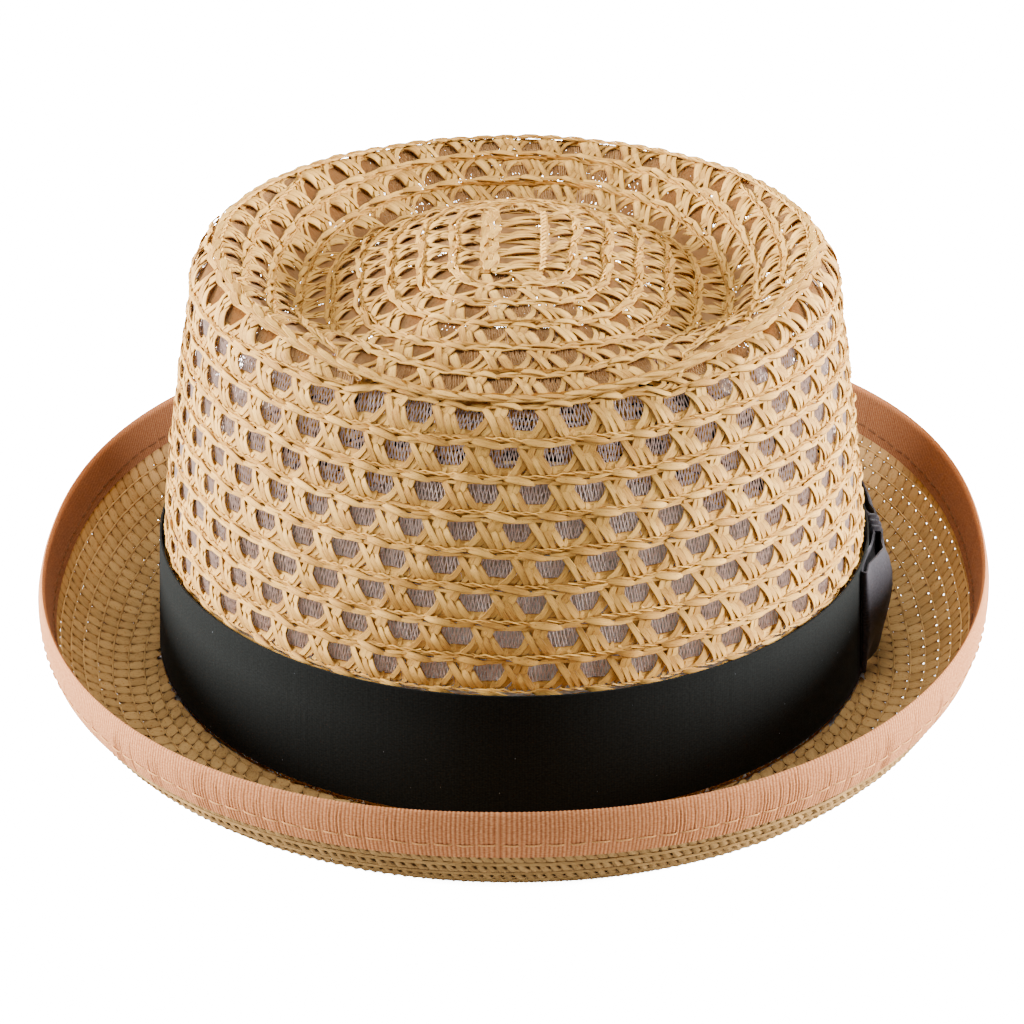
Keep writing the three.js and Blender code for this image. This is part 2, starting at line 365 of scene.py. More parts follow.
class Strands:
    """Strips of straw gathered into one mesh, each with its own place in the strand attribute."""
    SECTION = ((-0.5, -0.1), (-0.41, 0.5), (0.41, 0.5), (0.5, -0.1), (0.0, -0.5))
    DIAMOND = ((-0.5, 0.0), (0.0, 0.5), (0.5, 0.0), (0.0, -0.5))
    PLATE = ((-0.5, -0.5), (-0.48, 0.5), (0.48, 0.5), (0.5, -0.5))
    ROUND = ((-0.5, -0.28), (0.0, 0.57), (0.5, -0.28))
    MARK_WIDTH = 1.75

    def __init__(self, seed):
        self.points, self.faces, self.marks = [], [], []
        self.chance = np.random.default_rng(seed)

    def add(self, path, widths, thick, section=SECTION, name=None, mark=MARK_WIDTH):
        path = np.array(path, float)
        widths = np.broadcast_to(np.asarray(widths, float), len(path))
        marked = np.minimum(widths, mark)
        along = np.gradient(path, axis=0)
        across = np.cross((0, 0, 1), along)
        across /= np.linalg.norm(across, axis=1, keepdims=True)
        out = np.cross(along, across)
        out /= np.linalg.norm(out, axis=1, keepdims=True)
        travel = travelled(path)
        first, count = len(self.points), len(section)
        drawn = self.chance.random()
        name = drawn if name is None else name
        for i in range(len(path)):
            for a, b in section:
                self.points.append(path[i] + across[i] * a * widths[i] + out[i] * b * thick)
                self.marks.append((travel[i], a * marked[i], name))
        for i in range(len(path) - 1):
            here = first + i * count
            for k in range(count):
                n = (k + 1) % count
                self.faces.append((here + k, here + count + k, here + count + n, here + n))
        last = first + (len(path) - 1) * count
        self.faces.append(tuple(range(first, first + count)))
        self.faces.append(tuple(range(last + count - 1, last - 1, -1)))

    def object(self, name):
        return marked_object(name, self.points, self.faces, "strand", self.marks)


def bent(start, end, lifts, bow=0.0):
    """A path from start to end on the flat braid with a height at each step, bowed sideways."""
    start, end = np.array(start, float), np.array(end, float)
    shares = np.linspace(0, 1, len(lifts))
    side = np.array([-(end - start)[1], (end - start)[0]])
    side /= np.linalg.norm(side)
    flat = start + np.outer(shares, end - start) + np.outer(4 * shares * (1 - shares) * bow, side)
    return np.column_stack([flat, lifts])


STRIP_THICK = 0.36
HIDDEN_STEPS = slice(None, None, 2)
CORD_STEPS, HIDDEN_CORD_STEPS = 9, 5
CORD_RISE, CORD_WIDTH, CORD_THICK = 0.2, 0.42, 0.4
# A net has its threads each way, their width, and their name in the strand attribute, in which a
# strip's name is below 1
OPEN_NET, CLOSE_NET = (9, 0.25, 3.0), (12, 0.48, 4.0)
NET_FROM, CLOSE_NET_FROM = 2.0, 3.5
NET_START, NET_SPAN = 4.6, 6.4


def twisted_cord(unit, steps, side, swing, height):
    """The fine two-ply cord along the braid's edge."""
    for phase in (0, np.pi):
        turn = np.linspace(0, 4 * np.pi, steps) + phase
        path = np.column_stack([np.linspace(0, BRAID_PITCH, steps), side + swing * np.cos(turn),
                                height + CORD_RISE * np.sin(turn)])
        unit.add(path, CORD_WIDTH, CORD_THICK, Strands.ROUND)


def braid_unit(seed, shown=True, closed=0.0, net=OPEN_NET):
    """One block of three strips over three and one open window crossed by fine threads."""
    unit = Strands(seed)
    every = slice(None) if shown else HIDDEN_STEPS

    def shake(size):
        return unit.chance.normal(0, size)

    def strip(start, end, lifts, widths, bow):
        start = (start[0] + shake(0.14), start[1] + shake(0.1))
        end = (end[0] + shake(0.18), end[1] + shake(0.12))
        widths = np.array(widths) * (1 + shake(0.07))
        lifts = np.array(lifts) + shake(0.05)
        unit.add(bent(start, end, lifts, bow + shake(0.15))[every], widths[every], STRIP_THICK)

    unit.add([(4.8, 1.35, -0.55), (8.0, 1.2 + shake(0.1), -0.42), (11.3, 1.35, -0.55)],
             [1.2, 1.8, 1.2], STRIP_THICK)
    unit.add([(3.0, 0.8, -0.4), (6.9, 0.65 + shake(0.1), -0.25), (10.6, 0.75, -0.4)],
             [0.7, 1.0, 0.7], STRIP_THICK)
    if shown:
        unit.add([(-0.3, 7.75, -0.5), (5.8, 7.85, -0.42), (12.0, 7.75, -0.5)], [1.8, 1.9, 1.8],
                 STRIP_THICK)
    strip((0.6 - closed, 6.3), (-3.0 - closed, 0.25), [-0.35, -0.25, 0.0, 0.0, -0.2],
          [0.9, 1.1, 1.3, 1.35, 1.0], 1.0)
    strip((2.7, 6.4), (-1.3, 0.2), [0.15, 0.3, -0.35, -0.25, -0.3], [1.4, 1.7, 1.4, 1.3, 0.9], 0.55)
    strip((4.3, 6.3), (0.6, 0.2), [0.15, 0.3, -0.35, -0.35, -0.35], [1.4, 1.75, 1.4, 1.3, 0.9], 0.4)
    strip((-0.5, 6.3), (2.9, 0.5), [-0.3, 0.12, 0.38, 0.48, 0.45, 0.3, -0.15],
          [1.3, 1.55, 1.7, 1.75, 1.7, 1.6, 1.2], 0.2)
    strip((1.15, 6.3), (4.5, 0.5), [-0.5, -0.35, 0.1, 0.48, 0.48, 0.32, -0.15],
          [1.2, 1.5, 1.7, 1.8, 1.75, 1.6, 1.2], 0.05)
    strip((2.8 + closed, 6.2), (6.1 + closed, 0.6), [-0.5, -0.45, 0.05, 0.45, 0.48, 0.32, -0.15],
          np.array([1.2, 1.4, 1.65, 1.8, 1.8, 1.7, 1.2]) + closed, -0.2)
    leaf = np.array([(0.6, 7.5, 0.05), (2.0, 7.35, 0.5), (3.9, 7.1, 0.68), (5.9, 6.75, 0.6),
                     (7.8, 6.35, 0.0)])
    leaf[:, 1:] += [shake(0.16), shake(0.08)]
    unit.add(leaf, np.array([0.5, 1.35, 1.7, 1.5, 0.5]) * (1 + shake(0.12)), STRIP_THICK)
    wave = [shake(0.13) for _ in range(3)]
    edge = [(-0.3, 6.5, 0.0), (2.8, 6.35 + wave[0], 0.2), (5.8, 6.35 + wave[1], 0.05),
            (8.9, 6.5 + wave[2], 0.3), (12.0, 6.5, 0.0)]
    unit.add(edge, [0.7, 0.85, 0.75, 0.95, 0.7], STRIP_THICK)
    if shown:
        bridge = [(7.9, 7.1, 0.1), (10.1, 7.15 + shake(0.12), 0.38), (13.0, 7.35, 0.1)]
        unit.add(bridge, [0.4, 0.8, 0.4], 0.3)
        for foot_x, knee_x, knee_y in ((6.6, 7.6, 2.0), (8.8, 9.5, 1.8)):
            unit.add(bent((foot_x + shake(0.3), 0.1), (knee_x + shake(0.3), knee_y + shake(0.2)),
                          [-0.3, -0.05, -0.5]), [0.8, 1.0, 0.6], 0.3)
        count, width, net_name = net
        for head in np.linspace(NET_START, NET_START + NET_SPAN, count):
            for lean in (-1, 1):
                unit.add(bent((head + shake(0.14), 6.7), (head - 0.3 + lean * 1.4 + shake(0.14), 1.0),
                              [-0.45, -0.6 + 0.08 * lean]), width, width, Strands.ROUND, net_name)
    twisted_cord(unit, CORD_STEPS if shown else HIDDEN_CORD_STEPS, 0.0, 0.3, 0.28)
    return unit.object("braid_unit")


RIDGE_WIDTH = 2.4
RIDGE_RAISE = 0.25


def ridge_unit(seed):
    """The edge of the braid that shows as one raised line where wall and tip meet."""
    unit = Strands(seed)
    high = unit.chance.normal(0, 0.08, 3)
    unit.add([(-0.3, 0.8, 0.0), (5.8, 0.95, 0.12), (12.0, 0.8, 0.0)], 1.5, STRIP_THICK)
    unit.add([(0.4, 1.8, 0.05), (2.4, 1.6 + high[0], 0.45), (4.6, 1.3 + high[0], 0.5),
              (6.8, 0.9, 0.05)], [0.4, 1.4, 1.5, 0.4], STRIP_THICK)
    unit.add([(6.3, 1.7, 0.1), (8.4, 1.5 + high[1], 0.4), (10.7, 1.2 + high[1], 0.45),
              (12.7, 0.9, 0.05)], [0.3, 1.2, 1.3, 0.3], STRIP_THICK)
    twisted_cord(unit, CORD_STEPS, 2.1, 0.25, 0.2)
    return unit.object("ridge_unit")


def add_socket(tree, name, kind, default=None, output=False):
    socket = tree.interface.new_socket(name=name, in_out="OUTPUT" if output else "INPUT",
                                       socket_type="NodeSocket" + kind)
    if default is not None:
        socket.default_value = default


def sewing_tree(variants):
    """Sets one of several units on each seat, a little turned, with a tone of its own."""
    tree = bpy.data.node_groups.new("sewn_units", "GeometryNodeTree")
    add_socket(tree, "Seats", "Geometry")
    add_socket(tree, "Seed", "Int", 1)
    add_socket(tree, "Turn", "Float", 0.02)
    add_socket(tree, "Straw", "Material")
    unit_names = [f"Unit {i + 1}" for i in range(variants)]
    for name in unit_names:
        add_socket(tree, name, "Object")
    add_socket(tree, "Braid", "Geometry", output=True)
    given, result = add_node(tree, "NodeGroupInput"), add_node(tree, "NodeGroupOutput")
    pool = add_node(tree, "GeometryNodeJoinGeometry")
    for name in unit_names:
        fetch = add_node(tree, "GeometryNodeObjectInfo", {"Object": given.outputs[name]})
        wrap = add_node(tree, "GeometryNodeGeometryToInstance",
                        {"Geometry": fetch.outputs["Geometry"]})
        tree.links.new(wrap.outputs["Instances"], pool.inputs["Geometry"])

    def random_value(kind, low, high, seed_shift):
        seed = math_node(tree, "ADD", given.outputs["Seed"], seed_shift)
        node = add_node(tree, "FunctionNodeRandomValue", {"Min": low, "Max": high, "Seed": seed},
                        data_type=kind)
        return next(socket for socket in node.outputs if socket.enabled)

    toned = add_node(tree, "GeometryNodeStoreNamedAttribute",
                     {"Geometry": given.outputs["Seats"], "Name": "tone",
                      "Value": random_value("FLOAT", 0.0, 1.0, 3)}, data_type="FLOAT", domain="POINT")
    spread = add_node(tree, "ShaderNodeVectorMath",
                      {0: random_value("FLOAT_VECTOR", [-1.0] * 3, [1.0] * 3, 5),
                       "Scale": given.outputs["Turn"]}, operation="SCALE")
    place = add_node(tree, "GeometryNodeInstanceOnPoints",
                     {"Pick Instance": True, "Points": toned.outputs["Geometry"],
                      "Instance": pool.outputs["Geometry"],
                      "Instance Index": random_value("INT", 0, variants - 1, 7),
                      "Rotation": spread.outputs["Vector"]})
    real = add_node(tree, "GeometryNodeRealizeInstances", {"Geometry": place.outputs["Instances"]})
    paint = add_node(tree, "GeometryNodeSetMaterial",
                     {"Geometry": real.outputs["Geometry"], "Material": given.outputs["Straw"]})
    tree.links.new(paint.outputs["Geometry"], result.inputs["Braid"])
    return tree


FLAT_ROW_GAP = 100.0


def sew(name, tree, seats, units, material, seed, turn):
    """The flat braid: a mesh of every seat's unit, with each point's row in the row attribute."""
    mesh = bpy.data.meshes.new(name + "_seats")
    mesh.from_pydata([(x, FLAT_ROW_GAP * row, 0) for x, row in seats], [], [])
    rows = mesh.attributes.new("row", "FLOAT", "POINT")
    rows.data.foreach_set("value", [float(row) for _, row in seats])
    holder = add_object(name, mesh)
    modifier = holder.modifiers.new("sewing", "NODES")
    modifier.node_group = tree
    values = {"Seed": seed, "Turn": turn, "Straw": material}
    values.update({f"Unit {i + 1}": unit for i, unit in enumerate(units)})
    for item in tree.interface.items_tree:
        if item.in_out == "INPUT" and item.name in values:
            modifier[item.identifier] = values[item.name]
    bpy.context.view_layer.update()
    evaluated = holder.evaluated_get(bpy.context.evaluated_depsgraph_get())
    flat = bpy.data.meshes.new_from_object(evaluated)
    holder.modifiers.remove(modifier)
    holder.data = flat
    return holder


def points_of(mesh):
    points = np.empty(len(mesh.vertices) * 3, np.float32)
    mesh.vertices.foreach_get("co", points)
    return points.reshape(-1, 3).astype(float)


def values_of(mesh, name):
    values = np.empty(len(mesh.vertices), np.float32)
    mesh.attributes[name].data.foreach_get("value", values)
    return values


def set_points(mesh, points):
    """Writes points given in millimetres."""
    mesh.vertices.foreach_set("co", (points * MM).astype(np.float32).ravel())
    mesh.update()


WANDER_LENGTHS = (61.0, 27.0, 11.0)
BRAID_UNEVEN = (0.5, 0.3, 0.25)
FLATTEST = 0.4


def wander(share, length, chance):
    """A smooth unevenness along a closed row, within 1 each way: three waves with chance starts."""
    waves = [np.sin(2 * np.pi * (round(length / wave) * share + chance.random()))
             for wave in WANDER_LENGTHS]
    return sum(waves) / len(waves)


def lay_rows(piece, surface, rows, pitch, width, sink=0.0, uneven=BRAID_UNEVEN):
    """Bends the flat braid onto its rows: along the row, across it, and off the sheet."""
    flat, row_of = points_of(piece.data), np.rint(values_of(piece.data, "row")).astype(int)
    laid = np.empty_like(flat)
    chance = np.random.default_rng(len(rows))
    for r, row in enumerate(rows):
        mine = row_of == r
        length = row.seats * pitch
        share = flat[mine, 0] / length
        off = [size * wander(share, length, chance) for size in uneven]
        turn = row.turn(share + off[0] / length)
        across = (flat[mine, 1] - FLAT_ROW_GAP * r + off[1]) / width
        low, high = np.interp(turn, turns, row.low), np.interp(turn, turns, row.high)
        squeezed = np.clip(np.interp(turn, turns, row.width) / width, FLATTEST, 1.0)
        lift = flat[mine, 2] * squeezed + off[2] - sink
        laid[mine] = surface.at(turn, low + (high - low) * across, lift)
    set_points(piece.data, laid)


STRAND_TINT, STRAND_TINT_SHARE = 7.31, 0.65
STREAK_SHARE, STREAK_SHIFT = 1.4, -0.55
EDGE_REACH, EDGE_POWER = 1.2, 4.0
FLECK_RANGE = (0.60, 0.72)
FLECK_SHADE = (0.62, 0.46, 0.32)
CLOSE_NET_SHADE = (0.75, 0.53, 0.24)


def marks_on(tree, attribute, output="Vector"):
    return add_node(tree, "ShaderNodeAttribute", attribute_name=attribute).outputs[output]


def mixed(tree, factor, first, second, blend="MIX"):
    """The first colour, going over to the second, or multiplied by it, as the factor rises."""
    first, second = (value if isinstance(value, bpy.types.NodeSocket) else (*value, 1)
                     for value in (first, second))
    return add_node(tree, "ShaderNodeMix", {"Factor": factor, "A": first, "B": second},
                    data_type="RGBA", blend_type=blend).outputs["Result"]


def finish_look(tree, shader, colour, height, strength, depth):
    """Gives the shader its colour, and a bump of that depth."""
    bump = add_node(tree, "ShaderNodeBump",
                    {"Strength": strength, "Distance": depth * MM, "Height": height})
    tree.links.new(colour, shader.inputs["Base Color"])
    tree.links.new(bump.outputs["Normal"], shader.inputs["Normal"])


def straw_material(name, pale, deep, painted_edge_shade, thread):
    """Paper straw: pale and golden strands, streaks and flecks along each, painted edge shade."""
    material, tree, shader = new_material(name, roughness=0.7, shine=0.12)
    parts = add_node(tree, "ShaderNodeSeparateXYZ", {0: marks_on(tree, "strand")}).outputs
    strand = math_node(tree, "ADD", parts["Z"], marks_on(tree, "tone", "Fac"))

    def noise(along, across, apart, scale, detail):
        place = add_node(tree, "ShaderNodeCombineXYZ",
                         {0: math_node(tree, "MULTIPLY", parts["X"], along),
                          1: math_node(tree, "MULTIPLY", parts["Y"], across),
                          2: math_node(tree, "MULTIPLY", strand, apart)})
        return add_node(tree, "ShaderNodeTexNoise",
                        {"Vector": place.outputs[0], "Scale": scale, "Detail": detail}).outputs["Fac"]

    streaks = noise(along=0.22, across=4.0, apart=37.0, scale=1.6, detail=3)
    own = math_node(tree, "FRACT", math_node(tree, "MULTIPLY", strand, STRAND_TINT))
    tint = math_node(tree, "ADD", math_node(tree, "MULTIPLY", own, STRAND_TINT_SHARE),
                     math_node(tree, "MULTIPLY_ADD", streaks, STREAK_SHARE, STREAK_SHIFT))
    colour = mixed(tree, tint, pale, deep)
    # Painted shade: each strand darkens towards its edges, where the gaps between strands lie in shade
    side = math_node(tree, "ABSOLUTE", math_node(tree, "MULTIPLY", parts["Y"], EDGE_REACH))
    edge = math_node(tree, "POWER", side, EDGE_POWER)
    colour = mixed(tree, edge, colour, painted_edge_shade, "MULTIPLY")
    flecks = noise(along=0.9, across=2.6, apart=91.0, scale=1.7, detail=2)
    colour = mixed(tree, ramp(tree, flecks, *FLECK_RANGE), colour, FLECK_SHADE, "MULTIPLY")
    net = math_node(tree, "GREATER_THAN", parts["Z"], NET_FROM)
    colour = mixed(tree, net, colour, thread)
    close_net = math_node(tree, "GREATER_THAN", parts["Z"], CLOSE_NET_FROM)
    colour = mixed(tree, close_net, colour, CLOSE_NET_SHADE, "MULTIPLY")
    finish_look(tree, shader, colour, streaks, strength=0.5, depth=0.18)
    return material


crown_straw = straw_material("crown_straw", (0.82, 0.485, 0.118), (0.40, 0.19, 0.036),
                             (0.18, 0.11, 0.05), (0.56, 0.45, 0.41))
units = [braid_unit(seed) for seed in (11, 12, 13, 14, 15, 16)]
close_units = [braid_unit(seed, closed=0.8, net=CLOSE_NET) for seed in (17, 18, 19, 20, 23, 24)]
hidden_units = [braid_unit(seed, shown=False) for seed in (21, 22)]
ridge_units = [ridge_unit(seed) for seed in (25, 26)]
six_ways, two_ways = sewing_tree(len(units)), sewing_tree(len(hidden_units))


def crown_piece(name, rows, tree, choice, seed, sink):
    seats = seats_on(rows, BRAID_PITCH, BRAID_WIDTH)
    piece = sew(name, tree, seats, choice, crown_straw, seed, BRAID_TURN)
    lay_rows(piece, crown, rows, BRAID_PITCH, BRAID_WIDTH, sink)
    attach(piece, "root")
    return piece


walls = wall_rows()
middle_start, high_start = WALL_SPLITS
crown_foot = crown_piece("crown_foot_rows", foot_rows(), two_ways, hidden_units, 1, FOOT_SINK)
# The foot's rows are raised so that none of them reaches below the table's top
foot_points = points_of(crown_foot.data) / MM
foot_points[:, 2] += FOOT_RAISE
set_points(crown_foot.data, foot_points)
crown_low = crown_piece("crown_wall_rows_low", walls[:middle_start], six_ways, units, 2, WALL_SINK)
crown_piece("crown_wall_rows_middle", walls[middle_start:high_start], six_ways, units, 3, WALL_SINK)
crown_piece("crown_wall_rows_high", walls[high_start:], six_ways, close_units, 10, TIP_SINK)
crown_piece("crown_tip_rows", tip_rows(), six_ways, close_units, 4, TIP_SINK)
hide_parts("crown")

ridge_height = 2 * STEPS_PER_LEG
ridge_row = Row(crown, ridge_height - RIDGE_WIDTH / 2 / wall_length * STEPS_PER_LEG,
                ridge_height + RIDGE_WIDTH / 2 / tip_length * STEPS_PER_LEG,
                RIDGE_WIDTH * np.ones(len(turns)), BRAID_PITCH, 0.0)
crown_ridge = sew("crown_ridge_edge", two_ways, seats_on([ridge_row], BRAID_PITCH, RIDGE_WIDTH),
                  ridge_units, crown_straw, 12, 0.0)
lay_rows(crown_ridge, crown, [ridge_row], BRAID_PITCH, RIDGE_WIDTH, -RIDGE_RAISE)
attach(crown_ridge, "root")

# The bar: the straight start of the braid, laid flat in the middle of the tip. The rest of the
# braid is sewn round it.
BAR_FRONT = 26.5
BAR_SEATS = 4
BAR_PITCH = 9.8
BAR_LAP = 0.6
BAR_TURN = 0.02
bar_half = CROWN_RINGS[-1][1] + BAR_LAP
bar_height = CROWN_RINGS[-1][4]
bar_seats = [(i * BRAID_PITCH, 0) for i in range(BAR_SEATS)]
crown_bar = sew("crown_bar_row", six_ways, bar_seats, close_units, crown_straw, 5, BAR_TURN)
flat_bar = points_of(crown_bar.data)
set_points(crown_bar.data, np.column_stack([
    bar_half - flat_bar[:, 1] * 2 * bar_half / BRAID_WIDTH,
    flat_bar[:, 0] * BAR_PITCH / BRAID_PITCH - BAR_FRONT,
    flat_bar[:, 2] + bar_height]))
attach(crown_bar, "root")
for unit in units + close_units + hidden_units + ridge_units:
    bpy.data.objects.remove(unit)

# The brim: close straw plait about 4 mm wide, sewn row inside row from the edge inwards with a
# smooth selvage strand over each seam. It lies flat round the head and rolls up outside.
BRIM_MIDDLE = 1.0
BRIM_START = (91.5, 114.0, 114.0)
BRIM_EDGE = (112.4, 135.0, 135.0, 27.6, 25.6, 24.6)
BRIM_EDGE_POWER = 2.2
BRIM_LEAN = 2.0
HEAD_GAP = 0.45
PLAIT_WIDTH = 4.1
PLAIT_PITCH = 4.3
PLAIT_STAGGER = 0.0017
PLAIT_RAISE = 0.12
PLAIT_UNEVEN = (0.4, 0.12, 0.06)
BRIM_STEPS = 150
FLAT_RINGS, ROLL_RINGS = 11, 41
OUTER_BRIM_ROWS = 5
FOLD_ROOM = 1.2
SEAM_LAP = 0.1
# How far across a fold's strand attribute runs, so painted shade darkens its edges but not its middle
FOLD_MARKS = np.array([1.9, 1.65, 1.1, 1.2, 1.55])


def brim_at(turn, roll, offset):
    """A point of the brim; roll is 0 where it leaves the flat and a quarter turn at the edge."""
    start = oval(*BRIM_START, BRIM_MIDDLE, BRIM_MIDDLE, BRIM_MIDDLE, turn)
    edge = oval(*BRIM_EDGE, turn, BRIM_EDGE_POWER)
    edge[..., 2] += BRIM_LEAN * np.sin(turn)
    reach = (edge - start) * (1, 1, 0)
    rise = (edge[..., 2] - BRIM_MIDDLE)[..., None]
    length = np.linalg.norm(reach, axis=-1, keepdims=True)
    roll = np.broadcast_to(roll, turn.shape)[..., None]
    offset = np.broadcast_to(offset, turn.shape)[..., None]
    upright = np.array((0, 0, 1))
    point = start + reach * np.sin(roll) + upright * rise * (1 - np.cos(roll))
    normal = upright * length * np.cos(roll) - reach / length * rise * np.sin(roll)
    return point + normal / np.linalg.norm(normal, axis=-1, keepdims=True) * offset


head_ring = oval(*(size + HEAD_GAP for size in CROWN_RINGS[0][1:4]),
                 BRIM_MIDDLE, BRIM_MIDDLE, BRIM_MIDDLE, turns)
flat_ring = brim_at(turns, 0.0, 0.0)
brim_line = [head_ring + (flat_ring - head_ring) * share for share in np.linspace(0, 1, FLAT_RINGS)]
brim_line += [brim_at(turns, roll, 0.0) for roll in np.linspace(0, np.pi / 2, ROLL_RINGS)[1:]]
brim_grid, brim_length = even_steps(np.array(brim_line), BRIM_STEPS)
brim = Surface(turns, brim_grid, flip=-1)


def brim_rows():
    """Rows counted from the edge inwards; the last is cut short at the head opening."""
    rows = []
    for i in range(int(np.ceil(brim_length.max() / PLAIT_WIDTH))):
        far = np.minimum(FOLD_ROOM + i * PLAIT_WIDTH, brim_length)
        near = np.minimum(FOLD_ROOM + (i + 1) * PLAIT_WIDTH, brim_length)
        rows.append(Row(brim, BRIM_STEPS * (1 - far / brim_length),
                        BRIM_STEPS * (1 - near / brim_length), near - far, PLAIT_PITCH,
                        PLAIT_STAGGER * i))
    return rows


def plait_unit(seed):
    """Two slanted scales that show below, the flat fold that shows above, and the seam."""
    unit = Strands(seed)

    def shake(size):
        return unit.chance.normal(0, size)

    for start in (-0.3, PLAIT_PITCH / 2 - 0.3):
        lean = shake(0.1)
        scale = [(start, 0.55, 0.0), (start + 1.3, 2.0, -0.66), (start + 2.6 + lean, 3.45, 0.0)]
        unit.add(scale, np.array([0.9, 1.95, 0.9]) + shake(0.08), 0.55, Strands.DIAMOND)
    middle = PLAIT_PITCH / 2 + shake(0.05)
    high = 0.22 + shake(0.04)
    skew = shake(0.12)
    fold = [(middle - 0.15 - skew, 0.1, 0.05), (middle, 0.75, high), (middle + 0.1, 2.1, high + 0.04),
            (middle, 3.3, high), (middle - 0.15 + skew, 4.0, 0.05)]
    unit.add(fold, [2.7, 4.1, 4.28, 4.15, 3.4], 0.24, Strands.PLATE, mark=FOLD_MARKS)
    for height, width, thick in ((0.26, 0.5, 0.44), (-0.42, 1.3, 0.6)):
        unit.add([(-SEAM_LAP, 0, height), (PLAIT_PITCH + SEAM_LAP, 0, height)], width, thick,
                 Strands.DIAMOND)
    return unit.object("plait_unit")


# The brim's straw is given colours about half as bright as the crown straw's
brim_straw = straw_material("brim_straw", (0.45, 0.27, 0.096), (0.28, 0.158, 0.05),
                            (0.15, 0.09, 0.04), (0.80, 0.66, 0.52))
plaits = [plait_unit(31), plait_unit(32)]


def brim_piece(name, rows, seed):
    seats = seats_on(rows, PLAIT_PITCH, PLAIT_WIDTH)
    piece = sew(name, two_ways, seats, plaits, brim_straw, seed, 0.0)
    lay_rows(piece, brim, rows, PLAIT_PITCH, PLAIT_WIDTH, -PLAIT_RAISE, PLAIT_UNEVEN)
    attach(piece, "root")
    return piece


brim_all = brim_rows()
brim_outer = brim_piece("brim_outer_rows", brim_all[:OUTER_BRIM_ROWS], 6)
brim_piece("brim_inner_rows", brim_all[OUTER_BRIM_ROWS:], 7)
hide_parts("brim")
for unit in plaits:
    bpy.data.objects.remove(unit)

# The binding: a peach grosgrain ribbon about 21 mm wide, folded over the brim's edge and machine
# stitched through both legs with a long stitch. Its inside leg is made darker than it is dyed, as
# it looks in the shade between brim and crown.
BINDING_OUT = math.radians(22)
BINDING_IN = math.radians(23)
BINDING_OFF = {-1: 1.1, 1: 0.75}
BINDING_FOLDED = 0.3
BINDING_CLOSES = math.radians(7)
INSIDE_LEG = (11.0, 13.0)
FOLD_RISE = 0.9
RIBBON_THICK = 0.42
BINDING_RIB, BINDING_RIB_DEPTH = 0.88, 0.075
BAND_RIB, BAND_RIB_DEPTH = 0.65, 0.03
RIB_UNEVEN = 0.07
BINDING_STEPS = 5
FOLD_STEPS = 4


def off_brim(roll, side):
    """How far a leg of the binding stands off the straw; both legs close up towards the edge."""
    room = fade(np.pi / 2 - roll, 0.0, BINDING_CLOSES)
    return side * BINDING_OFF[side] * (BINDING_FOLDED + (1 - BINDING_FOLDED) * room)


def binding_line(turn, offset):
    """Rings of points from the end of the outside leg, over the edge, to the inside leg's end."""
    outside, inside = (np.linspace(np.pi / 2 - cover, np.pi / 2, BINDING_STEPS + 1)
                       for cover in (BINDING_OUT, BINDING_IN))
    rings = [brim_at(turn, roll, off_brim(roll, -1) - offset) for roll in outside]
    outer, inner = rings[-1], brim_at(turn, np.pi / 2, off_brim(np.pi / 2, 1) + offset)
    rise = np.broadcast_to(offset + FOLD_RISE, turn.shape)
    for bend in np.linspace(0, np.pi, FOLD_STEPS + 1)[1:-1]:
        ring = (outer + inner) / 2 + (outer - inner) / 2 * math.cos(bend)
        ring[:, 2] += rise * math.sin(bend)
        rings.append(ring)
    rings += [brim_at(turn, roll, off_brim(roll, 1) + offset) for roll in inside[::-1]]
    return np.array(rings)


def ribbed_band(name, face, back, turn, closed=True):
    """A ribbon of two skins joined at both edges; its weave attribute holds mm along and across."""
    rows, columns = face.shape[:2]
    faces = []
    inner = rows * columns
    last = columns if closed else columns - 1
    for i in range(rows - 1):
        for j in range(last):
            k = (j + 1) % columns
            a, b, c, d = i * columns + j, i * columns + k, (i + 1) * columns + k, (i + 1) * columns + j
            faces.append((a, b, c, d))
            faces.append((inner + d, inner + c, inner + b, inner + a))
    top = (rows - 1) * columns
    for j in range(last):
        k = (j + 1) % columns
        faces.append((j, inner + j, inner + k, k))
        faces.append((top + k, inner + top + k, inner + top + j, top + j))
    if not closed:
        for i in range(rows - 1):
            a, d = i * columns, (i + 1) * columns
            faces.append((a, d, inner + d, inner + a))
            b, c = a + columns - 1, d + columns - 1
            faces.append((inner + b, inner + c, c, b))
    across = np.repeat(travelled(face[:, 0]), columns)
    marks = np.column_stack([np.tile(turn, rows), across, np.tile(np.arange(columns) % 2, rows)])
    points = np.concatenate([face.reshape(-1, 3), back.reshape(-1, 3)]) * MM
    return marked_object(name, points, faces, "weave", np.concatenate([marks, marks]))


def valley_or_rib(count):
    """-1 and 1 in turn."""
    return np.arange(count) % 2 * 2 - 1


def rib_columns(length, pitch, depth):
    """Two columns to a rib: turns round the hat, and how proud each column stands."""
    ribs = round(length / pitch)
    count = 2 * ribs
    chance = np.random.default_rng(ribs)
    turn = (np.arange(count) + RIB_UNEVEN * chance.uniform(-1, 1, count)) * np.pi / ribs
    heights = depth * valley_or_rib(count) * (1 + 2 * RIB_UNEVEN * chance.uniform(-1, 1, count))
    return turn, heights


YARN_STRETCH = (1.2, 2.6, 0.0)
YARN_RANGE = (0.36, 0.62)
LINT_SIZES = (0.036, 0.022)
LINT = (0.32, 0.36, 0.42)
LEG_SHADE = (0.36, 0.36, 0.38)


